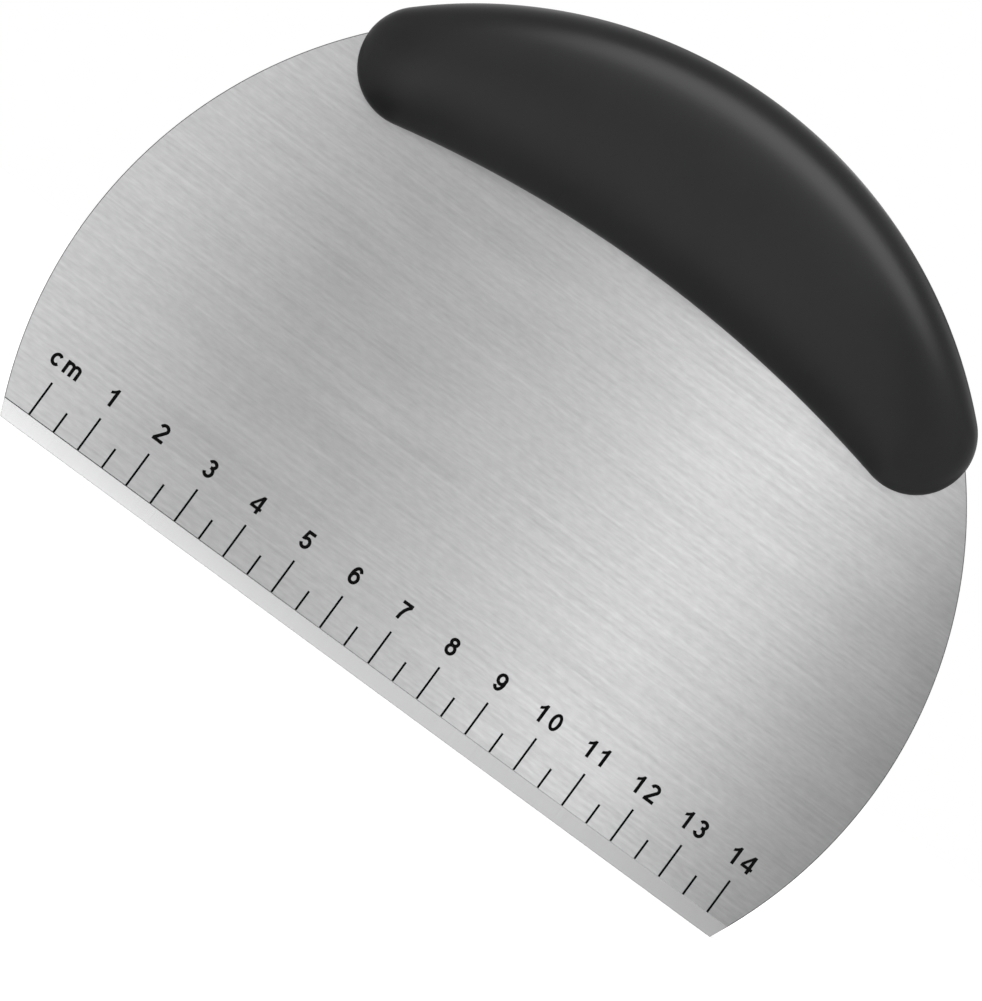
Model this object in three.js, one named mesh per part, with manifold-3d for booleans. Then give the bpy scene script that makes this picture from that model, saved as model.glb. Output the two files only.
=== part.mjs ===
// Bench scraper: a half-moon steel blade with a centimetre scale and a soft grip along its arc.
// Millimetres, +Z up. The origin is the middle of the cutting edge, in the blade's mid-plane.
// +X runs along the cutting edge, and the face that carries the scale looks along -Y.
import * as THREE from "three";
import { mergeVertices } from "three/addons/utils/BufferGeometryUtils.js";
import Module from "manifold-3d";

const wasm = await Module();
wasm.setup();

// ---- driving dimensions ----

const BLADE_THICKNESS = 1;
const BLADE_RADIUS = 81.2;
const BLADE_CENTRE_HEIGHT = 35;
const BEVEL_HEIGHT = 3.1;
const EDGE_LAND = 0.3;

const RIM_RADIUS = 85.2;
const RIM_CENTRE_HEIGHT = 33.4;
const LOBE_RADIUS = 10.25;
const LOBE_OFFSET = 51.5;
const UNDERSIDE_HEIGHT = 83.4;
const GRIP_HALF_DEPTH = 11;
const GRIP_SKIN = 2.2;
const UNDERSIDE_FULLNESS = 2;
const RIM_FULLNESS = 6;
const END_FULLNESS = 4;

const TANG_RIM_DISTANCE = 8;
const TANG_HALF_WIDTH = 50;
const SHOULDER_HEIGHT = 89.2;

const RIVET_RADIUS = 2;
const RIVET_HEAD_RADIUS = 3.4;
const RIVET_HEAD_THICKNESS = 1.2;
const RIVET_HALF_LENGTH = 5;
const RIVETS = [
  { name: "rivet_left", x: -34, z: 94.2 },
  { name: "rivet_middle", x: 0, z: 99.2 },
  { name: "rivet_right", x: 34, z: 94.2 },
];

const CORE_POCKET_OFFSET = 17;
const CORE_POCKET_HEIGHT = 95.2;
const CORE_POCKET_LENGTH = 18;
const CORE_POCKET_WIDTH = 10;
const CORE_POCKET_DEPTH = 4.5;

const FIT_GAP = 0.3;

const SCALE_LENGTH = 140;
const SCALE_START = -69.55;
const CENTIMETRE = 10;
const INK_THICKNESS = 0.05;
const TICK_WIDTH = 0.38;
const LONG_TICK = 6.5;
const SHORT_TICK = 3.85;
const NUMERAL_BASELINE = 12;
const NUMERAL_HEIGHT = 3.25;
const NUMERAL_WIDTH = 2;
const NUMERAL_PITCH = 2.7;
const NUMERAL_SHIFT = -0.3;
const STROKE = 0.58;
const LETTER_HEIGHT = 2.4;
const LETTER_C_WIDTH = 2.05;
const LETTER_M_WIDTH = 3;
const LETTER_GAP = 0.65;

const OUTLINE_SEGMENTS = 20;
const ROUND_SEGMENTS = 20;
const GRIP_STATIONS = 40;
const GRIP_RING = 28;
const CORE_STATIONS = 28;
const CORE_RING = 20;
const POCKET_SEGMENTS = 6;
const GLYPH_SEGMENTS = 9;

// ---- materials ----

function finish(colour, roughness, metalness) {
  return () => new THREE.MeshStandardMaterial({ color: colour, roughness, metalness });
}

const steel = finish(0xb8b9ba, 0.35, 1);
const softGrip = finish(0x303031, 0.62, 0);
const hardPlastic = finish(0x1c1c1d, 0.5, 0);
const rivetSteel = finish(0xa9aaac, 0.4, 1);
const ink = finish(0x141414, 0.55, 0);

// ---- solids ----

function solidOf(geometry) {
  const bare = geometry.clone();
  bare.deleteAttribute("normal");
  bare.deleteAttribute("uv");
  const merged = mergeVertices(bare, 1e-5);
  return new wasm.Manifold(new wasm.Mesh({
    numProp: 3,
    vertProperties: Float32Array.from(merged.attributes.position.array),
    triVerts: Uint32Array.from(merged.index.array),
  }));
}

function geometryOf(solid) {
  const mesh = solid.getMesh();
  const geometry = new THREE.BufferGeometry();
  geometry.setAttribute("position", new THREE.BufferAttribute(Float32Array.from(mesh.vertProperties), 3));
  geometry.setIndex(new THREE.BufferAttribute(Uint32Array.from(mesh.triVerts), 1));
  geometry.computeVertexNormals();
  return geometry;
}

// Axes for a shape drawn as (x, height) that is extruded towards the front, which is -Y.
const DRAWN_UPRIGHT = new THREE.Matrix4().makeBasis(
  new THREE.Vector3(1, 0, 0), new THREE.Vector3(0, 0, 1), new THREE.Vector3(0, -1, 0));

// Axes for a shape drawn as (y, height) that is extruded along +X.
const DRAWN_ACROSS = new THREE.Matrix4().makeBasis(
  new THREE.Vector3(0, 1, 0), new THREE.Vector3(0, 0, 1), new THREE.Vector3(1, 0, 0));

function uprightPlate(shape, backY, thickness, curveSegments = OUTLINE_SEGMENTS) {
  const plate = new THREE.ExtrudeGeometry(shape, { depth: thickness, bevelEnabled: false, curveSegments });
  return plate.applyMatrix4(DRAWN_UPRIGHT).translate(0, backY, 0);
}

function bar(fromX, toX, fromZ, toZ) {
  const shape = new THREE.Shape();
  shape.moveTo(fromX, fromZ);
  shape.lineTo(toX, fromZ);
  shape.lineTo(toX, toZ);
  shape.lineTo(fromX, toZ);
  shape.closePath();
  return shape;
}

function pinAlongY(radius, halfLength, x, z) {
  const pin = new THREE.CylinderGeometry(radius, radius, 2 * halfLength, ROUND_SEGMENTS);
  return solidOf(pin.translate(x, 0, z));
}

// ---- blade ----

function bladeOutline(grow = 0) {
  const radius = BLADE_RADIUS + grow;
  const edgeAngle = Math.asin((-grow - BLADE_CENTRE_HEIGHT) / radius);
  const shoulderAngle = Math.asin((SHOULDER_HEIGHT + grow - BLADE_CENTRE_HEIGHT) / radius);
  const tangRadius = RIM_RADIUS - TANG_RIM_DISTANCE + grow;
  const tangAngle = Math.acos((TANG_HALF_WIDTH + grow) / tangRadius);
  const outline = new THREE.Shape();
  outline.absarc(0, BLADE_CENTRE_HEIGHT, radius, edgeAngle, shoulderAngle, false);
  outline.absarc(0, RIM_CENTRE_HEIGHT, tangRadius, tangAngle, Math.PI - tangAngle, false);
  outline.absarc(0, BLADE_CENTRE_HEIGHT, radius, Math.PI - shoulderAngle, Math.PI - edgeAngle, false);
  outline.closePath();
  return outline;
}

function bladeThicknessProfile() {
  const face = BLADE_THICKNESS / 2;
  const land = EDGE_LAND / 2;
  const top = RIM_CENTRE_HEIGHT + RIM_RADIUS;
  const profile = new THREE.Shape();
  profile.moveTo(-land, 0);
  profile.lineTo(land, 0);
  profile.lineTo(face, BEVEL_HEIGHT);
  profile.lineTo(face, top);
  profile.lineTo(-face, top);
  profile.lineTo(-face, BEVEL_HEIGHT);
  profile.closePath();
  return profile;
}

function bladeGeometry() {
  const length = 2 * BLADE_RADIUS + 2;
  const ground = new THREE.ExtrudeGeometry(bladeThicknessProfile(), { depth: length, bevelEnabled: false });
  ground.applyMatrix4(DRAWN_ACROSS).translate(-length / 2, 0, 0);
  const outline = uprightPlate(bladeOutline(), BLADE_THICKNESS, 2 * BLADE_THICKNESS);
  let blade = solidOf(ground).intersect(solidOf(outline));
  for (const { x, z } of RIVETS) {
    blade = blade.subtract(pinAlongY(RIVET_RADIUS + FIT_GAP, BLADE_THICKNESS, x, z));
  }
  return geometryOf(blade);
}

// ---- grip and core: one rounded banana form, drawn at any inset from the grip's surface ----

const LOBE_HEIGHT = RIM_CENTRE_HEIGHT + Math.sqrt((RIM_RADIUS - LOBE_RADIUS) ** 2 - LOBE_OFFSET ** 2);
const LOBE_DROP = LOBE_HEIGHT - UNDERSIDE_HEIGHT;
const UNDERSIDE_RADIUS =
  (LOBE_OFFSET ** 2 + LOBE_DROP ** 2 - LOBE_RADIUS ** 2) / (2 * (LOBE_RADIUS - LOBE_DROP));

// Height of the outline's upper and lower side at a place along the grip. The rim, the lobes and the
// underside are arcs that run into each other, and an inset moves each of them by the same amount.
function outlineHeights(x, inset) {
  const lobe = LOBE_RADIUS - inset;
  const rim = RIM_RADIUS - inset;
  const underside = UNDERSIDE_RADIUS + inset;
  const undersideCentre = UNDERSIDE_HEIGHT - UNDERSIDE_RADIUS;
  const along = Math.abs(x);
  const lobeRise = Math.sqrt(Math.max(lobe ** 2 - (along - LOBE_OFFSET) ** 2, 0));
  const rimEnd = LOBE_OFFSET * rim / (RIM_RADIUS - LOBE_RADIUS);
  const undersideEnd = LOBE_OFFSET * underside / (UNDERSIDE_RADIUS + LOBE_RADIUS);
  const onRim = along < rimEnd;
  const onUnderside = along < undersideEnd;
  return {
    upper: onRim ? RIM_CENTRE_HEIGHT + Math.sqrt(rim ** 2 - x ** 2) : LOBE_HEIGHT + lobeRise,
    lower: onUnderside ? undersideCentre + Math.sqrt(underside ** 2 - x ** 2) : LOBE_HEIGHT - lobeRise,
  };
}

// Share of the full depth at a height between the underside, 0, and the rim, 1.
function sectionDepth(share) {
  const fromUnderside = 1 - (1 - share) ** UNDERSIDE_FULLNESS;
  const fromRim = 1 - share ** RIM_FULLNESS;
  return Math.sqrt(Math.max(fromUnderside * fromRim, 0));
}

// The whole form at an inset: a sphere with its poles at the grip's ends, pulled on to the outline.
function gripForm(inset, stations, ring) {
  const onAxis = 1e-6;
  const halfLength = LOBE_OFFSET + LOBE_RADIUS - inset;
  const form = new THREE.SphereGeometry(1, ring, stations).rotateZ(Math.PI / 2);
  const points = form.attributes.position;
  for (let i = 0; i < points.count; i += 1) {
    const along = points.getX(i);
    const across = Math.hypot(points.getY(i), points.getZ(i));
    const turn = across > onAxis ? points.getZ(i) / across : 0;
    const share = (1 + turn) / 2;
    const side = Math.abs(points.getY(i)) > onAxis ? Math.sign(points.getY(i)) : 0;
    const { upper, lower } = outlineHeights(along * halfLength, inset);
    const endTaper = Math.sqrt(Math.max(1 - Math.abs(along) ** END_FULLNESS, 0));
    const depth = (GRIP_HALF_DEPTH - inset) * endTaper * sectionDepth(share);
    points.setXYZ(i, along * halfLength, side * depth, lower + (upper - lower) * share);
  }
  return form;
}

function tangSlot() {
  const half = BLADE_THICKNESS / 2 + FIT_GAP;
  return solidOf(uprightPlate(bladeOutline(FIT_GAP), half, 2 * half));
}

function gripGeometry() {
  const outside = solidOf(gripForm(0, GRIP_STATIONS, GRIP_RING));
  const cavity = solidOf(gripForm(GRIP_SKIN, CORE_STATIONS, CORE_RING));
  return geometryOf(outside.subtract(cavity).subtract(tangSlot()));
}

function corePocket(x) {
  const round = CORE_POCKET_WIDTH / 2;
  const straight = CORE_POCKET_LENGTH / 2 - round;
  const outline = new THREE.Shape();
  outline.absarc(x + straight, CORE_POCKET_HEIGHT, round, -Math.PI / 2, Math.PI / 2, false);
  outline.absarc(x - straight, CORE_POCKET_HEIGHT, round, Math.PI / 2, 3 * Math.PI / 2, false);
  outline.closePath();
  return solidOf(uprightPlate(outline, CORE_POCKET_DEPTH, 2 * CORE_POCKET_DEPTH, POCKET_SEGMENTS));
}

function coreGeometry(side) {
  const reach = 2 * BLADE_RADIUS;
  const sideOfBlade = new THREE.BoxGeometry(reach, reach, reach).translate(0, side * reach / 2, LOBE_HEIGHT);
  const form = solidOf(gripForm(GRIP_SKIN + FIT_GAP, CORE_STATIONS, CORE_RING));
  let core = form.intersect(solidOf(sideOfBlade)).subtract(tangSlot());
  for (const x of [-CORE_POCKET_OFFSET, CORE_POCKET_OFFSET]) {
    core = core.subtract(corePocket(x));
  }
  const headSeat = RIVET_HALF_LENGTH - RIVET_HEAD_THICKNESS - FIT_GAP;
  const seatRadius = RIVET_HEAD_RADIUS + FIT_GAP;
  for (const { x, z } of RIVETS) {
    const seat = new THREE.CylinderGeometry(seatRadius, seatRadius, GRIP_HALF_DEPTH, ROUND_SEGMENTS);
    seat.translate(x, side * (headSeat + GRIP_HALF_DEPTH / 2), z);
    core = core.subtract(pinAlongY(RIVET_RADIUS + FIT_GAP, GRIP_HALF_DEPTH, x, z)).subtract(solidOf(seat));
  }
  return geometryOf(core);
}

function rivetGeometry() {
  const neck = RIVET_HALF_LENGTH - RIVET_HEAD_THICKNESS;
  return new THREE.LatheGeometry([
    new THREE.Vector2(0, -RIVET_HALF_LENGTH),
    new THREE.Vector2(RIVET_HEAD_RADIUS, -RIVET_HALF_LENGTH),
    new THREE.Vector2(RIVET_HEAD_RADIUS, -neck),
    new THREE.Vector2(RIVET_RADIUS, -neck),
    new THREE.Vector2(RIVET_RADIUS, neck),
    new THREE.Vector2(RIVET_HEAD_RADIUS, neck),
    new THREE.Vector2(RIVET_HEAD_RADIUS, RIVET_HALF_LENGTH),
    new THREE.Vector2(0, RIVET_HALF_LENGTH),
  ], ROUND_SEGMENTS);
}

// ---- numerals and letters, drawn from strokes of one width about x = 0 on the baseline ----

// Points along an elliptical arc, from one angle to another in degrees.
function arcPoints(centreX, centreZ, radiusX, radiusZ, fromDegrees, toDegrees) {
  const degreesPerStep = 20;
  const steps = Math.ceil(Math.abs(toDegrees - fromDegrees) / degreesPerStep);
  const points = [];
  for (let i = 0; i <= steps; i += 1) {
    const angle = THREE.MathUtils.degToRad(fromDegrees + (toDegrees - fromDegrees) * i / steps);
    points.push(new THREE.Vector2(centreX + radiusX * Math.cos(angle), centreZ + radiusZ * Math.sin(angle)));
  }
  return points;
}

// Outline of a stroke of the given width along a run of points, cut square at both ends.
function strokeShape(points, width = STROKE) {
  const left = [];
  const right = [];
  points.forEach((point, i) => {
    const before = points[Math.max(i - 1, 0)];
    const after = points[Math.min(i + 1, points.length - 1)];
    const along = after.clone().sub(before).normalize();
    const normal = new THREE.Vector2(-along.y, along.x).multiplyScalar(width / 2);
    left.push(point.clone().add(normal));
    right.push(point.clone().sub(normal));
  });
  return new THREE.Shape([...right, ...left.reverse()]);
}

function ringShape(centreX, centreZ, radiusX, radiusZ) {
  const ring = new THREE.Shape();
  ring.absellipse(centreX, centreZ, radiusX + STROKE / 2, radiusZ + STROKE / 2, 0, 2 * Math.PI, false);
  const hole = new THREE.Path();
  hole.absellipse(centreX, centreZ, radiusX - STROKE / 2, radiusZ - STROKE / 2, 0, 2 * Math.PI, true);
  ring.holes.push(hole);
  return ring;
}

const HALF_WIDTH = NUMERAL_WIDTH / 2;
const BOWL_X = (NUMERAL_WIDTH - STROKE) / 2;
const LOW_BOWL_Z = 0.78;
const LOW_CENTRE = LOW_BOWL_Z + STROKE / 2;
const HIGH_BOWL_Z = (NUMERAL_HEIGHT - 2 * LOW_BOWL_Z - STROKE) / 2;
const HIGH_CENTRE = NUMERAL_HEIGHT - HIGH_BOWL_Z - STROKE / 2;
const MIDDLE = NUMERAL_HEIGHT / 2;

function polygon(...pairs) {
  return new THREE.Shape(pairs.map(([x, z]) => new THREE.Vector2(x, z)));
}

function zeroShapes() {
  return [ringShape(0, MIDDLE, BOWL_X, MIDDLE - STROKE / 2)];
}

function oneShapes() {
  const stem = -0.16;
  const flagTip = -0.88;
  const flagTop = 2.5;
  const flagFoot = 1.97;
  const one = new THREE.Shape();
  one.moveTo(stem, 0);
  one.lineTo(stem + STROKE, 0);
  one.lineTo(stem + STROKE, NUMERAL_HEIGHT);
  one.lineTo(stem + STROKE / 4, NUMERAL_HEIGHT);
  one.quadraticCurveTo(stem - 0.1, flagTop + 0.25, flagTip, flagTop);
  one.lineTo(flagTip, flagFoot);
  one.quadraticCurveTo(stem - 0.27, flagFoot + 0.13, stem, flagFoot + 0.4);
  one.closePath();
  return [one];
}

function twoShapes() {
  const bowl = arcPoints(0, HIGH_CENTRE, BOWL_X, HIGH_BOWL_Z + 0.08, 170, -30);
  const foot = new THREE.Vector2(-0.72, 0.4);
  return [strokeShape([...bowl, foot]), bar(-HALF_WIDTH, HALF_WIDTH, 0, STROKE)];
}

function threeShapes() {
  return [
    strokeShape(arcPoints(0, HIGH_CENTRE, BOWL_X - 0.06, HIGH_BOWL_Z, 165, -100)),
    strokeShape(arcPoints(0, LOW_CENTRE, BOWL_X, LOW_BOWL_Z, 100, -165)),
  ];
}

function fourShapes() {
  const stem = 0.05;
  const rightOfStem = stem + STROKE;
  const peak = stem + 0.04;
  const tip = stem - 1.3;
  const end = rightOfStem + 0.32;
  const barFoot = 0.68;
  const barTop = 1.2;
  const four = polygon(
    [stem, 0], [rightOfStem, 0], [rightOfStem, barFoot], [end, barFoot], [end, barTop],
    [rightOfStem, barTop], [rightOfStem, NUMERAL_HEIGHT], [peak, NUMERAL_HEIGHT],
    [tip, barTop + 0.04], [tip, barFoot], [stem, barFoot]);
  four.holes.push(polygon([stem, barTop], [stem - 0.75, barTop], [stem, barTop + 1.15]));
  return [four];
}

function fiveShapes() {
  const neckTop = -0.65;
  const neckFoot = -0.97;
  const neckBase = 1.4;
  const neckWidth = 0.5;
  return [
    bar(neckTop, neckTop + 1.53, NUMERAL_HEIGHT - STROKE, NUMERAL_HEIGHT),
    polygon(
      [neckTop, NUMERAL_HEIGHT], [neckFoot, neckBase], [neckFoot + neckWidth, neckBase],
      [neckTop + neckWidth, NUMERAL_HEIGHT - STROKE / 2]),
    strokeShape(arcPoints(0, LOW_CENTRE + 0.03, BOWL_X, LOW_BOWL_Z + 0.03, 140, -165)),
  ];
}

function sixShapes() {
  return [
    ringShape(0, LOW_CENTRE + 0.05, BOWL_X, LOW_BOWL_Z + 0.05),
    strokeShape(arcPoints(0.04, MIDDLE, BOWL_X + 0.03, MIDDLE - STROKE / 2, 35, 205)),
  ];
}

function sevenShapes() {
  return [
    bar(-HALF_WIDTH, HALF_WIDTH, NUMERAL_HEIGHT - STROKE, NUMERAL_HEIGHT),
    strokeShape(arcPoints(1.6, 0, 1.93, 3.05, 180, 112)),
  ];
}

function eightShapes() {
  return [
    ringShape(0, HIGH_CENTRE, BOWL_X - 0.09, HIGH_BOWL_Z),
    ringShape(0, LOW_CENTRE, BOWL_X, LOW_BOWL_Z),
  ];
}

function letterCShapes() {
  const radiusX = (LETTER_C_WIDTH - STROKE) / 2;
  const radiusZ = (LETTER_HEIGHT - STROKE) / 2;
  return [strokeShape(arcPoints(0, LETTER_HEIGHT / 2, radiusX, radiusZ, 42, 318))];
}

function letterMShapes() {
  const stem = (LETTER_M_WIDTH - STROKE) / 2;
  const archRadius = stem / 2;
  const archHeight = LETTER_HEIGHT - archRadius - STROKE / 2;
  const arches = [-archRadius, archRadius].map((x) => strokeShape([
    ...arcPoints(x, archHeight, archRadius, archRadius, 180, 0),
    new THREE.Vector2(x + archRadius, 0),
  ]));
  return [bar(-stem - STROKE / 2, -stem + STROKE / 2, 0, LETTER_HEIGHT), ...arches];
}

const GLYPHS = {
  0: zeroShapes,
  1: oneShapes,
  2: twoShapes,
  3: threeShapes,
  4: fourShapes,
  5: fiveShapes,
  6: sixShapes,
  7: sevenShapes,
  8: eightShapes,
  c: letterCShapes,
  m: letterMShapes,
};

// A nine is a six turned half round.
function glyphGeometry(symbol) {
  const backY = -BLADE_THICKNESS / 2;
  const shapes = GLYPHS[symbol === "9" ? "6" : symbol]();
  let glyph = null;
  for (const shape of shapes) {
    const stroke = solidOf(uprightPlate(shape, backY, INK_THICKNESS, GLYPH_SEGMENTS));
    glyph = glyph ? glyph.add(stroke) : stroke;
  }
  const geometry = geometryOf(glyph);
  if (symbol === "9") {
    geometry.applyMatrix4(new THREE.Matrix4().makeScale(-1, 1, -1)).translate(0, 0, NUMERAL_HEIGHT);
  }
  return geometry;
}

// ---- assembly ----

const group = new THREE.Group();

function place(name, geometry, material, x = 0, y = 0, z = 0) {
  const mesh = new THREE.Mesh(geometry, material());
  mesh.name = name;
  mesh.position.set(x, y, z);
  group.add(mesh);
}

function placeTicks() {
  const halfTicks = 2 * SCALE_LENGTH / CENTIMETRE;
  for (let i = 0; i <= halfTicks; i += 1) {
    const long = i % 2 === 0;
    const height = long ? LONG_TICK : SHORT_TICK;
    const tick = bar(-TICK_WIDTH / 2, TICK_WIDTH / 2, BEVEL_HEIGHT, BEVEL_HEIGHT + height);
    const name = `${long ? "tick_long" : "tick_short"}_${String(Math.floor(i / 2)).padStart(2, "0")}`;
    const x = SCALE_START + i * CENTIMETRE / 2;
    place(name, uprightPlate(tick, -BLADE_THICKNESS / 2, INK_THICKNESS), ink, x);
  }
}

function placeNumerals() {
  for (let value = 1; value <= SCALE_LENGTH / CENTIMETRE; value += 1) {
    const digits = String(value).split("");
    const centre = SCALE_START + value * CENTIMETRE + NUMERAL_SHIFT;
    digits.forEach((digit, i) => {
      const offset = (i - (digits.length - 1) / 2) * NUMERAL_PITCH;
      const part = digits.length === 1 ? "" : ["_tens", "_units"][i];
      place(`numeral_${value}${part}`, glyphGeometry(digit), ink, centre + offset, 0, NUMERAL_BASELINE);
    });
  }
}

// The m starts right above the zero mark, and the c stands to the left of it.
function placeUnit() {
  const letterC = SCALE_START - LETTER_GAP - LETTER_C_WIDTH / 2;
  place("letter_c", glyphGeometry("c"), ink, letterC, 0, NUMERAL_BASELINE);
  place("letter_m", glyphGeometry("m"), ink, SCALE_START + LETTER_M_WIDTH / 2, 0, NUMERAL_BASELINE);
}

place("blade", bladeGeometry(), steel);
place("core_front", coreGeometry(-1), hardPlastic);
place("core_back", coreGeometry(1), hardPlastic);
for (const { name, x, z } of RIVETS) {
  place(name, rivetGeometry(), rivetSteel, x, 0, z);
}
place("grip", gripGeometry(), softGrip);
placeTicks();
placeNumerals();
placeUnit();

export default group;
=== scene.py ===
import math

import bmesh
import bpy
from mathutils import Matrix, Vector


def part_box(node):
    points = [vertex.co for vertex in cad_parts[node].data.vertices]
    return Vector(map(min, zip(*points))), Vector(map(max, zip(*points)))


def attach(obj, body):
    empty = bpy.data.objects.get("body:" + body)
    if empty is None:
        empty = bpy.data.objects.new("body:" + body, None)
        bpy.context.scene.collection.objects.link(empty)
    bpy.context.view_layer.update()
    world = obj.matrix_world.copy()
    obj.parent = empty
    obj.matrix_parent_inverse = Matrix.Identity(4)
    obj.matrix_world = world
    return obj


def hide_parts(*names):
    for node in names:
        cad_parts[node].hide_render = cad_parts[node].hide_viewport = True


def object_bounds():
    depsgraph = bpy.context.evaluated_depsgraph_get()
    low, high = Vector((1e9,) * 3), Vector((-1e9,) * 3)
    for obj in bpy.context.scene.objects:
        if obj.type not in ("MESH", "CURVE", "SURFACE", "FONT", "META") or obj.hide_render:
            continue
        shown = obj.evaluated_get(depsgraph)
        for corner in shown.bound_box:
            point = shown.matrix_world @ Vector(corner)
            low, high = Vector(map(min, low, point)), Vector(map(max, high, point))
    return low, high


# The looks of a bench scraper: a brushed half-moon blade, its printed scale and its soft grip.
# Metres. The origin is the middle of the cutting edge, +X runs along the edge as the scale reads,
# +Z points up to the grip, and the face that carries the scale looks along -Y.

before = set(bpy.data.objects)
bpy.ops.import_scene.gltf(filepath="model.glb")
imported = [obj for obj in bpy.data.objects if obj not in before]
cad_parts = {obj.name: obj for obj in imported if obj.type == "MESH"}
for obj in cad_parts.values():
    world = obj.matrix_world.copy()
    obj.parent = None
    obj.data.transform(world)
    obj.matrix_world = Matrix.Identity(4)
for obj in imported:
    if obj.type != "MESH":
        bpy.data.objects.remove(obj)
cad_low, cad_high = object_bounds()
MM = 0.001

# ---- sizes worked out from the frame ----

blade_low, blade_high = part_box("blade")
grip_low, grip_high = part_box("grip")
core_low, core_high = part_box("core_front")

BLADE_THICKNESS = blade_high.y - blade_low.y
BLADE_RADIUS = blade_high.x
BEVEL_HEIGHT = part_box("tick_long_07")[0].z
EDGE_LAND = 0.3 * MM


def half_edge():
    """Half the length of the cutting edge: the furthest place where the blade reaches its lowest line."""
    at_edge = [v.co.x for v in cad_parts["blade"].data.vertices if v.co.z < blade_low.z + 0.01 * MM]
    return max(at_edge)


BLADE_CENTRE_HEIGHT = math.sqrt(BLADE_RADIUS ** 2 - half_edge() ** 2)

RIM_RADIUS = 85.2 * MM
LOBE_RADIUS = 10.25 * MM
GRIP_HALF_DEPTH = 11 * MM
GRIP_SKIN = 2.2 * MM
UNDERSIDE_FULLNESS = 2
RIM_FULLNESS = 6
END_FULLNESS = 4
UNDERSIDE_HEIGHT = 83.4 * MM
LOBE_OFFSET = grip_high.x - LOBE_RADIUS
RIM_CENTRE_HEIGHT = grip_high.z - RIM_RADIUS
LOBE_HEIGHT = RIM_CENTRE_HEIGHT + math.sqrt((RIM_RADIUS - LOBE_RADIUS) ** 2 - LOBE_OFFSET ** 2)
LOBE_DROP = LOBE_HEIGHT - UNDERSIDE_HEIGHT
UNDERSIDE_RADIUS = (LOBE_OFFSET ** 2 + LOBE_DROP ** 2 - LOBE_RADIUS ** 2) / (2 * (LOBE_RADIUS - LOBE_DROP))

TANG_RADIUS = blade_high.z - RIM_CENTRE_HEIGHT
TANG_HALF_WIDTH = 50 * MM
SHOULDER_HEIGHT = 89.2 * MM


# ---- camera: square on to the front face, rolled so that the edge runs down to the right ----

ROLL = math.radians(36.3)
AIM = Vector((0.91 * MM, blade_low.y, 37.04 * MM))
VIEW_HEIGHT = 166.65 * MM
LENS = 200
SENSOR = 36
NEAREST = 0.01
FURTHEST = 100


def add_camera():
    data = bpy.data.cameras.new("camera")
    data.lens = LENS
    data.sensor_width = SENSOR
    camera = bpy.data.objects.new("camera", data)
    bpy.context.scene.collection.objects.link(camera)
    right = Vector((math.cos(ROLL), 0, math.sin(ROLL)))
    up = Vector((-math.sin(ROLL), 0, math.cos(ROLL)))
    back = Vector((0, -1, 0))
    distance = LENS * VIEW_HEIGHT / SENSOR
    turned = Matrix((right, up, back)).transposed().to_4x4()
    camera.matrix_world = Matrix.Translation(AIM + back * distance) @ turned
    data.clip_start = NEAREST
    data.clip_end = FURTHEST
    bpy.context.scene.camera = camera


# ---- node helpers ----

class Nodes:
    """A short way to add nodes to a tree and join them up."""

    def __init__(self, tree):
        self.tree = tree
        self.tree.nodes.clear()

    def add(self, kind, values=None, **settings):
        node = self.tree.nodes.new("ShaderNode" + kind)
        for name, value in settings.items():
            setattr(node, name, value)
        for name, value in (values or {}).items():
            if isinstance(value, bpy.types.NodeSocket):
                self.tree.links.new(value, node.inputs[name])
            else:
                node.inputs[name].default_value = value
        return node

    def stretched(self, scale):
        """Object coordinates, scaled by a different amount along each axis."""
        place = self.add("TexCoord")
        mapping = self.add("Mapping", {"Vector": place.outputs["Object"], "Scale": scale})
        return mapping.outputs["Vector"]

    def noise(self, scale, detail=2.0, roughness=0.5, size=1.0):
        node = self.add("TexNoise", {
            "Vector": self.stretched(scale), "Scale": size, "Detail": detail, "Roughness": roughness})
        return node.outputs["Fac"]

    def math(self, operation, first, second, third=None):
        values = {0: first, 1: second}
        if third is not None:
            values[2] = third
        return self.add("Math", values, operation=operation).outputs[0]

    def remap(self, value, low, high, to_low, to_high):
        node = self.add("MapRange", {
            "Value": value, "From Min": low, "From Max": high, "To Min": to_low, "To Max": to_high})
        return node.outputs["Result"]

    def mix(self, share, first, second):
        node = self.add("Mix", {0: share}, data_type="RGBA")
        node.inputs[6].default_value = (*first, 1)
        node.inputs[7].default_value = (*second, 1)
        return node.outputs[2]

    def bump(self, height, strength, distance):
        values = {"Height": height, "Strength": strength, "Distance": distance}
        return self.add("Bump", values).outputs["Normal"]

    def finish(self, values):
        shader = self.add("BsdfPrincipled", values)
        out = self.add("OutputMaterial")
        self.tree.links.new(shader.outputs["BSDF"], out.inputs["Surface"])
        return shader


def new_material(name):
    material = bpy.data.materials.new(name)
    material.use_nodes = True
    return material, Nodes(material.node_tree)


# ---- materials ----

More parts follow.
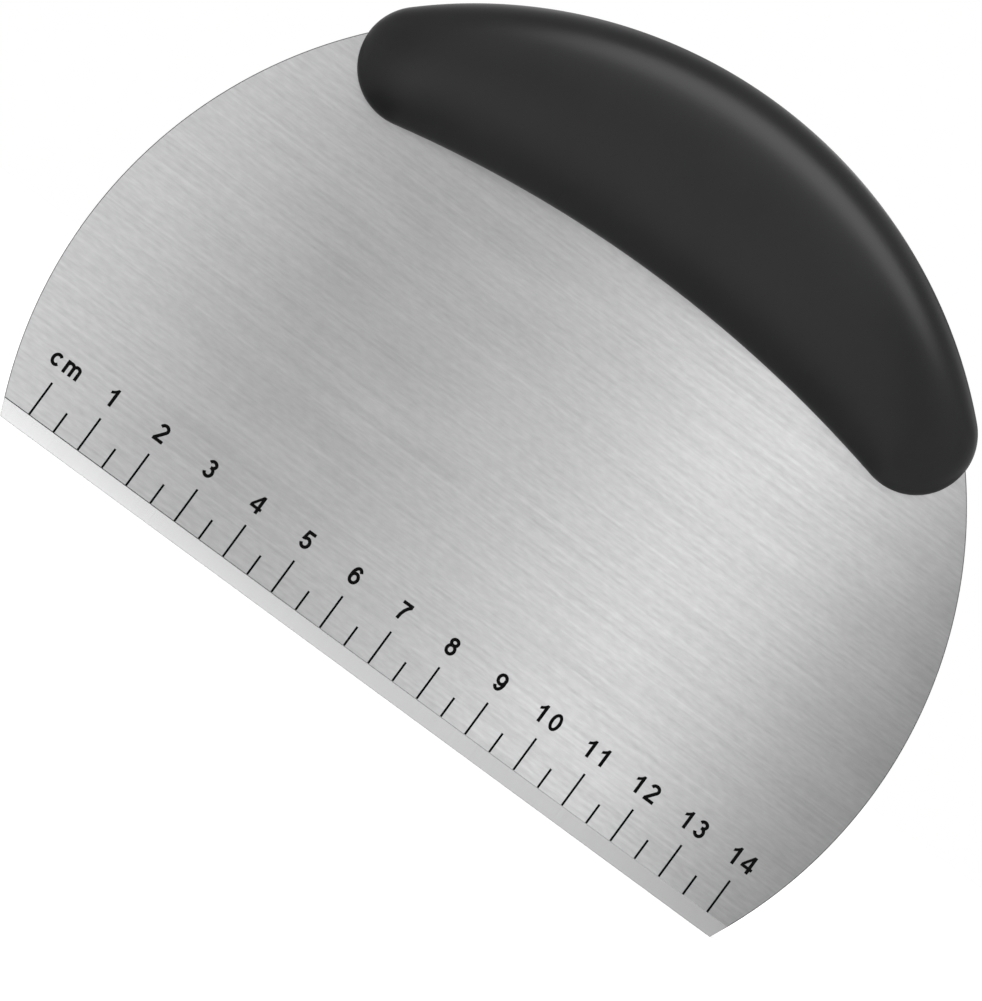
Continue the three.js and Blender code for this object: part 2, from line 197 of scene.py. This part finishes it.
def brushed_steel(name, light, dark, roughness, anisotropy, line_depth, line_scales):
    """Stainless steel with lines along one direction. The scales are those of the short fine lines, the
    broader ones and the long hairlines, and each is finest across its lines."""
    fine_scale, broad_scale, hair_scale = line_scales
    material, nodes = new_material(name)
    fine = nodes.noise(fine_scale, detail=1)
    broad = nodes.noise(broad_scale, detail=2)
    hairs = nodes.noise(hair_scale, detail=1)
    cloud = nodes.noise((60, 60, 110), detail=2)
    lines = nodes.math("MULTIPLY_ADD", fine, 0.35, nodes.math("MULTIPLY", broad, 0.3))
    lines = nodes.math("MULTIPLY_ADD", hairs, 0.35, lines)
    colour = nodes.mix(nodes.remap(lines, 0.3, 0.7, 0, 1), dark, light)
    rough = nodes.math(
        "ADD",
        nodes.remap(lines, 0.3, 0.7, roughness + 0.01, roughness - 0.01),
        nodes.remap(cloud, 0.3, 0.7, -0.015, 0.015))
    tangent = nodes.add("Tangent", direction_type="UV_MAP", uv_map="brush")
    nodes.finish({
        "Base Color": colour,
        "Metallic": 1.0,
        "Roughness": rough,
        "Anisotropic": anisotropy,
        "Tangent": tangent.outputs["Tangent"],
        "Normal": nodes.bump(lines, 1.0, line_depth),
    })
    return material


def sheared_steel_and_painted_rim_shade():
    """The plate's cut edge: duller than its faces, with short marks across its thickness. Its dark colour
    is partly the cut edge's own and partly painted shade, a painted dark reflection that draws a dark line
    round the plate's outline.
    """
    material, nodes = new_material("edge_steel_and_painted_rim_shade")
    marks = nodes.noise((2500, 300, 2500), detail=2)
    # painted shade: both colours are kept far darker than steel so the cut edge and its rounding show a
    # dark line round the outline; only the dullness is the edge's own
    colour = nodes.mix(nodes.remap(marks, 0.3, 0.7, 0, 1), (0.17, 0.17, 0.172), (0.28, 0.28, 0.283))
    nodes.finish({
        "Base Color": colour,
        "Metallic": 1.0,
        "Roughness": nodes.remap(marks, 0.3, 0.7, 0.36, 0.46),
        "Normal": nodes.bump(marks, 0.3, 0.01 * MM),
    })
    return material


def soft_rubber():
    """Satin black overmoulding with a very fine stipple and faint patches where hands have been."""
    material, nodes = new_material("soft_grip")
    stipple = nodes.noise((1, 1, 1), detail=2, roughness=0.6, size=5200)
    patches = nodes.noise((1, 1, 1), detail=3, roughness=0.55, size=60)
    shade = nodes.remap(patches, 0.3, 0.7, 0, 1)
    colour = nodes.mix(shade, (0.0080, 0.0080, 0.0082), (0.0098, 0.0098, 0.0100))
    rough = nodes.math(
        "ADD", nodes.remap(patches, 0.3, 0.7, 0.35, 0.38), nodes.remap(stipple, 0.3, 0.7, -0.02, 0.02))
    nodes.finish({
        "Base Color": colour,
        "Roughness": rough,
        "Specular IOR Level": 0.34,
        "Normal": nodes.bump(stipple, 0.35, 0.02 * MM),
    })
    return material


def printed_ink():
    """Flat black marking ink, a little uneven where it takes on the brushed lines."""
    material, nodes = new_material("scale_ink")
    grain = nodes.noise((120, 1200, 4000), detail=2)
    shade = nodes.remap(grain, 0.35, 0.65, 0, 1)
    colour = nodes.mix(shade, (0.0008, 0.0008, 0.0008), (0.002, 0.002, 0.002))
    nodes.finish({
        "Base Color": colour,
        "Roughness": nodes.remap(grain, 0.3, 0.7, 0.5, 0.62),
        "Specular IOR Level": 0.06,
        "Normal": nodes.bump(grain, 0.3, 0.01 * MM),
    })
    return material


def hard_plastic():
    """Plain moulded plastic of the hidden core."""
    material, nodes = new_material("core_plastic")
    grain = nodes.noise((1, 1, 1), detail=3, size=1800)
    colour = nodes.mix(nodes.remap(grain, 0.3, 0.7, 0, 1), (0.010, 0.010, 0.011), (0.014, 0.014, 0.015))
    nodes.finish({
        "Base Color": colour,
        "Roughness": nodes.remap(grain, 0.3, 0.7, 0.42, 0.55),
        "Normal": nodes.bump(grain, 0.25, 0.02 * MM),
    })
    return material


def turned_steel():
    """Plain steel of the hidden rivets, with faint rings from turning."""
    material, nodes = new_material("rivet_steel")
    rings = nodes.noise((300, 4000, 300), detail=2)
    colour = nodes.mix(nodes.remap(rings, 0.3, 0.7, 0, 1), (0.42, 0.42, 0.43), (0.55, 0.55, 0.56))
    nodes.finish({
        "Base Color": colour,
        "Metallic": 1.0,
        "Roughness": nodes.remap(rings, 0.3, 0.7, 0.3, 0.42),
        "Normal": nodes.bump(rings, 0.3, 0.01 * MM),
    })
    return material


# ---- mesh helpers ----

def new_object(name, mesh):
    piece = bpy.data.objects.new(name, mesh)
    bpy.context.scene.collection.objects.link(piece)
    return piece


def mesh_from(name, points, faces):
    mesh = bpy.data.meshes.new(name)
    mesh.from_pydata(points, [], faces)
    mesh.update()
    return mesh


def arc(centre_z, radius, start, end, steps):
    """Points (x, z) on a circle about x = 0, from one angle to another."""
    return [
        (radius * math.cos(start + (end - start) * i / steps),
         centre_z + radius * math.sin(start + (end - start) * i / steps))
        for i in range(steps + 1)
    ]


def blade_outline(grow, steps):
    """The plate's outline, anticlockwise from the right end of the cutting edge: the round side, the
    shoulder inside the grip, the tang's arc, and the same again on the left."""
    radius = BLADE_RADIUS + grow
    edge = math.asin((-grow - BLADE_CENTRE_HEIGHT) / radius)
    shoulder = math.asin((SHOULDER_HEIGHT + grow - BLADE_CENTRE_HEIGHT) / radius)
    tang_radius = TANG_RADIUS + grow
    tang = math.acos((TANG_HALF_WIDTH + grow) / tang_radius)
    return [
        *arc(BLADE_CENTRE_HEIGHT, radius, edge, shoulder, steps),
        *arc(RIM_CENTRE_HEIGHT, tang_radius, tang, math.pi - tang, steps),
        *arc(BLADE_CENTRE_HEIGHT, radius, math.pi - shoulder, math.pi - edge, steps),
    ]


def plate(name, outline, half_thickness):
    """A flat plate on both sides of y = 0 with the given outline."""
    count = len(outline)
    points = [(x, -half_thickness, z) for x, z in outline] + [(x, half_thickness, z) for x, z in outline]
    sides = [(i, i + count, (i + 1) % count + count, (i + 1) % count) for i in range(count)]
    front = tuple(range(count))
    back = tuple(reversed(range(count, 2 * count)))
    return mesh_from(name, points, [front, back, *sides])


def round_edges(piece, width):
    """Rounds the edges that carry a bevel weight."""
    bevel = piece.modifiers.new("round_edges", "BEVEL")
    bevel.width = width
    bevel.segments = 3
    bevel.limit_method = "WEIGHT"
    # the rounded outline takes the cut edge's material, with its painted dark rim shade
    bevel.material = EDGE
    bevel.harden_normals = True


def apply_modifiers(piece):
    graph = bpy.context.evaluated_depsgraph_get()
    mesh = bpy.data.meshes.new_from_object(piece.evaluated_get(graph))
    piece.modifiers.clear()
    piece.data = mesh


# ---- blade ----

GRIND_STEP_HEIGHT = 0.16 * MM
GRIND_STEP_DEPTH = 0.1 * MM
SIDE_ROUND = 0.16 * MM
LAND_ROUND = 0.05 * MM
CORNER_ANGLE = math.radians(60)
FACET_ANGLE = math.radians(2.5)
FACE, GROUND, EDGE = 0, 1, 2


def score(form, height):
    """Adds an edge round the plate at a height."""
    everything = form.verts[:] + form.edges[:] + form.faces[:]
    bmesh.ops.bisect_plane(form, geom=everything, plane_co=(0, 0, height), plane_no=(0, 0, 1), dist=1e-7)


def grind(form):
    """Thins the plate from both sides below the grinding step, down to the land at the cutting edge."""
    step_foot = BEVEL_HEIGHT - GRIND_STEP_HEIGHT
    score(form, BEVEL_HEIGHT)
    score(form, step_foot)
    land_half = EDGE_LAND / 2
    ground_half = BLADE_THICKNESS / 2 - GRIND_STEP_DEPTH
    for vert in form.verts:
        if vert.co.z < BEVEL_HEIGHT - GRIND_STEP_HEIGHT / 2:
            half = land_half + (ground_half - land_half) * vert.co.z / step_foot
            vert.co.y = math.copysign(half, vert.co.y)
    form.normal_update()


def mark_edges(form):
    """Keeps the facets of the round side smooth, and weights the corners that are rounded off."""
    weight = form.edges.layers.float.new("bevel_weight_edge")
    for edge in form.edges:
        turn = edge.calc_face_angle(0)
        edge.smooth = turn < FACET_ANGLE
        if turn > CORNER_ANGLE:
            highest = max(vert.co.z for vert in edge.verts)
            on_land = highest < BEVEL_HEIGHT - GRIND_STEP_HEIGHT
            edge[weight] = LAND_ROUND / SIDE_ROUND if on_land else 1


def brush_faces(form):
    """Gives each face its material, and a map whose first axis crosses the lines of its brushing."""
    brush = form.loops.layers.uv.new("brush")
    for face in form.faces:
        flat = abs(face.normal.y) > 0.5
        ground = flat and face.calc_center_median().z < BEVEL_HEIGHT
        face.material_index = GROUND if ground else FACE if flat else EDGE
        for loop in face.loops:
            across = (loop.vert.co.z, loop.vert.co.x)
            loop[brush].uv = across[::-1] if ground else across


def build_blade(face_material, ground_material, edge_material):
    mesh = plate("blade_plate", blade_outline(0, 120), BLADE_THICKNESS / 2)
    form = bmesh.new()
    form.from_mesh(mesh)
    grind(form)
    mark_edges(form)
    brush_faces(form)
    form.to_mesh(mesh)
    form.free()
    for material in (face_material, ground_material, edge_material):
        mesh.materials.append(material)
    mesh.shade_smooth()
    blade = new_object("blade_plate", mesh)
    round_edges(blade, SIDE_ROUND)
    apply_modifiers(blade)
    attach(blade, "root")
    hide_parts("blade")
    return blade


# ---- grip ----

def outline_heights(x, inset):
    """Lower and upper height of the grip's outline at a place along it. The rim, the lobes and the
    underside are arcs that run into each other, and an inset moves each of them by the same amount."""
    lobe = LOBE_RADIUS - inset
    rim = RIM_RADIUS - inset
    underside = UNDERSIDE_RADIUS + inset
    along = abs(x)
    rise = math.sqrt(max(lobe ** 2 - (along - LOBE_OFFSET) ** 2, 0))
    rim_end = LOBE_OFFSET * rim / (RIM_RADIUS - LOBE_RADIUS)
    underside_end = LOBE_OFFSET * underside / (UNDERSIDE_RADIUS + LOBE_RADIUS)
    upper = LOBE_HEIGHT + rise
    lower = LOBE_HEIGHT - rise
    if along < rim_end:
        upper = RIM_CENTRE_HEIGHT + math.sqrt(rim ** 2 - x ** 2)
    if along < underside_end:
        lower = UNDERSIDE_HEIGHT - UNDERSIDE_RADIUS + math.sqrt(underside ** 2 - x ** 2)
    return lower, upper


def section_depth(share):
    """Share of the full depth at a height between the underside, 0, and the rim, 1."""
    from_underside = 1 - (1 - share) ** UNDERSIDE_FULLNESS
    from_rim = 1 - share ** RIM_FULLNESS
    return math.sqrt(max(from_underside * from_rim, 0))


def grip_form(name, inset, stations, ring):
    """The grip's rounded banana form at an inset from its surface: rings round the section at places
    along it, closed by a point at each end."""
    half_length = LOBE_OFFSET + LOBE_RADIUS - inset
    points = []
    for i in range(1, stations):
        along = -math.cos(math.pi * i / stations)
        lower, upper = outline_heights(along * half_length, inset)
        depth = (GRIP_HALF_DEPTH - inset) * math.sqrt(1 - abs(along) ** END_FULLNESS)
        for j in range(ring):
            turn = 2 * math.pi * j / ring
            share = (1 - math.cos(turn)) / 2
            side = -1 if j <= ring // 2 else 1
            height = lower + (upper - lower) * share
            points.append((along * half_length, side * depth * section_depth(share), height))
    left = len(points)
    right = left + 1
    points.append((-half_length, 0, LOBE_HEIGHT))
    points.append((half_length, 0, LOBE_HEIGHT))
    faces = []
    for i in range(stations - 2):
        for j in range(ring):
            k = (j + 1) % ring
            faces.append((i * ring + j, i * ring + k, (i + 1) * ring + k, (i + 1) * ring + j))
    last = (stations - 2) * ring
    for j in range(ring):
        k = (j + 1) % ring
        faces.append((left, k, j))
        faces.append((right, last + j, last + k))
    mesh = mesh_from(name, points, faces)
    form = bmesh.new()
    form.from_mesh(mesh)
    bmesh.ops.recalc_face_normals(form, faces=form.faces)
    form.to_mesh(mesh)
    form.free()
    return new_object(name, mesh)


def cut(piece, tool):
    boolean = piece.modifiers.new("cut", "BOOLEAN")
    boolean.operation = "DIFFERENCE"
    boolean.solver = "EXACT"
    boolean.object = tool
    apply_modifiers(piece)
    bpy.data.objects.remove(tool)


LIP_GAP = 0.06 * MM


def build_grip(material):
    grip = grip_form("grip_skin", 0, 200, 144)
    cut(grip, grip_form("grip_inside", GRIP_SKIN, 96, 64))
    slot = plate("blade_slot", blade_outline(LIP_GAP, 60), BLADE_THICKNESS / 2 + LIP_GAP)
    cut(grip, new_object("blade_slot", slot))
    grip.data.materials.clear()
    grip.data.materials.append(material)
    grip.data.shade_smooth()
    grip.data.set_sharp_from_angle(angle=math.radians(40))
    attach(grip, "root")
    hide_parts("grip")
    return grip


# ---- carried-over CAD pieces ----

def dress(prefixes, material):
    for name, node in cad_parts.items():
        if name.startswith(prefixes):
            node.data.materials.clear()
            node.data.materials.append(material)


# ---- floor, light and backdrop ----

FLOOR_HALF_WIDTH = 8
CARD_DISTANCE = 0.35
CARD_HALF_WIDTH = 0.3
CARD_FOOT = -1
CARD_TOP = 0.34


def add_floor():
    half = FLOOR_HALF_WIDTH
    corners = [(-half, -half, 0), (half, -half, 0), (half, half, 0), (-half, half, 0)]
    mesh = mesh_from("floor", corners, [(0, 1, 2, 3)])
    material, nodes = new_material("floor")
    paper = nodes.noise((1, 1, 1), detail=2, size=900)
    colour = nodes.mix(nodes.remap(paper, 0.3, 0.7, 0, 1), (0.86, 0.86, 0.86), (0.88, 0.88, 0.88))
    nodes.finish({"Base Color": colour, "Roughness": 0.9, "Specular IOR Level": 0.1})
    mesh.materials.append(material)
    floor = new_object("floor", mesh)
    floor.location.z = cad_low.z
    floor.visible_glossy = False


def add_light(name, kind, place, target, power):
    data = bpy.data.lights.new(name, kind)
    data.energy = power
    light = bpy.data.objects.new(name, data)
    light.location = place
    light.rotation_mode = "QUATERNION"
    light.rotation_quaternion = (Vector(target) - Vector(place)).to_track_quat("-Z", "Y")
    light.visible_camera = False
    bpy.context.scene.collection.objects.link(light)
    return light


def add_soft_box(name, place, target, width, height, radiance):
    """An area light of an even radiance."""
    light = add_light(name, "AREA", place, target, radiance * math.pi * width * height)
    light.data.shape = "RECTANGLE"
    light.data.size = width
    light.data.size_y = height


def add_card(name, y, low, high, strength, bands):
    """An upright panel of light that only reflections see. Its brightness runs in soft bands along X,
    each band given as a place and a level."""
    half = CARD_HALF_WIDTH
    corners = [(-half, y, low), (half, y, low), (half, y, high), (-half, y, high)]
    mesh = mesh_from(name, corners, [(0, 1, 2, 3)])
    material, nodes = new_material(name)
    place = nodes.add("TexCoord")
    split = nodes.add("SeparateXYZ", {"Vector": place.outputs["Object"]})
    ramp = nodes.add("ValToRGB", {"Fac": nodes.remap(split.outputs["X"], -half, half, 0, 1)})
    ramp.color_ramp.interpolation = "CARDINAL"
    stops = ramp.color_ramp.elements
    for _ in range(len(bands) - 2):
        stops.new(0.5)
    for stop, (x, level) in zip(stops, bands):
        stop.position = (x + half) / (2 * half)
        stop.color = (level, level, level, 1)
    glow = nodes.add("Emission", {"Color": ramp.outputs["Color"], "Strength": strength})
    out = nodes.add("OutputMaterial")
    nodes.tree.links.new(glow.outputs["Emission"], out.inputs["Surface"])
    mesh.materials.append(material)
    card = new_object(name, mesh)
    card.visible_camera = False
    card.visible_diffuse = False
    card.visible_shadow = False
    return card


def add_world():
    """A white surround for the camera and a dimmer, gently banded one for everything else."""
    world = bpy.data.worlds.new("studio")
    world.use_nodes = True
    bpy.context.scene.world = world
    nodes = Nodes(world.node_tree)
    path = nodes.add("LightPath")
    place = nodes.add("TexCoord")
    split = nodes.add("SeparateXYZ", {"Vector": place.outputs["Generated"]})
    height = nodes.remap(split.outputs["Z"], 0.2, 1.0, 0.5, 0.16)
    behind = nodes.remap(split.outputs["Y"], 0.0, 1.0, 1.0, 1.7)
    mapping = nodes.add("Mapping", {"Vector": place.outputs["Generated"], "Scale": (9, 9, 0.5)})
    bands = nodes.add("TexNoise", {"Vector": mapping.outputs["Vector"], "Scale": 1.0, "Detail": 1.0})
    banded = nodes.math("MULTIPLY", height, nodes.remap(bands.outputs["Fac"], 0.35, 0.65, 0.6, 1.5))
    level = nodes.math("MULTIPLY", banded, behind)
    grey = nodes.add("CombineColor", {0: level, 1: level, 2: level})
    lit = nodes.add("Background", {"Color": grey.outputs[0], "Strength": 1.0})
    seen = nodes.add("Background", {"Color": (1, 1, 1, 1), "Strength": 1.0})
    both = nodes.add("MixShader", {0: path.outputs["Is Camera Ray"], 1: lit.outputs[0], 2: seen.outputs[0]})
    out = nodes.add("OutputWorld")
    nodes.tree.links.new(both.outputs[0], out.inputs["Surface"])


def add_lights():
    """Even light from above, a soft box for the grip's highlight, and cards for the steel to mirror: one
    before each face, a low one for the ground bevel and a lying one for the step above it."""
    sky = add_light("overhead", "SUN", (0, 0, 3), (0, 0, 0), 3.1)
    sky.data.angle = math.radians(110)
    sky.visible_glossy = False
    add_soft_box("grip_light", (0.08, -0.62, 0.88), (0.08, 0, 0.1), 1.04, 0.66, 3.4)
    bands = [
        (-0.30, 0.31), (-0.16, 0.50), (-0.10, 0.60), (-0.084, 0.38), (-0.066, 0.20),
        (-0.035, 0.29), (0.0, 0.44), (0.03, 0.63), (0.05, 0.99), (0.068, 0.72),
        (0.09, 0.25), (0.12, 0.03), (0.2, 0.28), (0.30, 0.31)]
    add_card("front_card", -CARD_DISTANCE, CARD_FOOT, CARD_TOP, 1.65, bands)
    low_bands = [(-0.3, 1.0), (-0.05, 0.94), (0, 0.45), (0.3, 0.39)]
    add_card("low_card", 0.01 - CARD_DISTANCE, -0.13, -0.07, 1.95, low_bands)
    add_card("back_card", CARD_DISTANCE, CARD_FOOT, CARD_TOP, 1.6, bands)
    step_bands = [(-0.3, 0.0), (-0.06, 0.02), (0.02, 0.6), (0.3, 0.6)]
    under = add_card("under_card", -0.3, -0.3, 0.3, 1.0, step_bands)
    under.rotation_euler.x = math.radians(90)


# ---- the whole ----

bpy.context.scene.view_settings.view_transform = "Standard"
add_camera()
face_steel = brushed_steel(
    "blade_steel", (0.685, 0.685, 0.69), (0.51, 0.51, 0.515), 0.3, 0.75, 0.0008 * MM,
    [(500, 1, 1600), (60, 1, 900), (14, 1, 1900)])
ground_steel = brushed_steel(
    "ground_steel", (0.70, 0.70, 0.705), (0.66, 0.66, 0.665), 0.22, 0.7, 0.001 * MM,
    [(4500, 1, 90), (700, 1, 40), (2500, 1, 20)])
build_blade(face_steel, ground_steel, sheared_steel_and_painted_rim_shade())
build_grip(soft_rubber())
dress(("tick_", "numeral_", "letter_"), printed_ink())
dress(("core_",), hard_plastic())
dress(("rivet_",), turned_steel())
add_floor()
add_world()
add_lights()
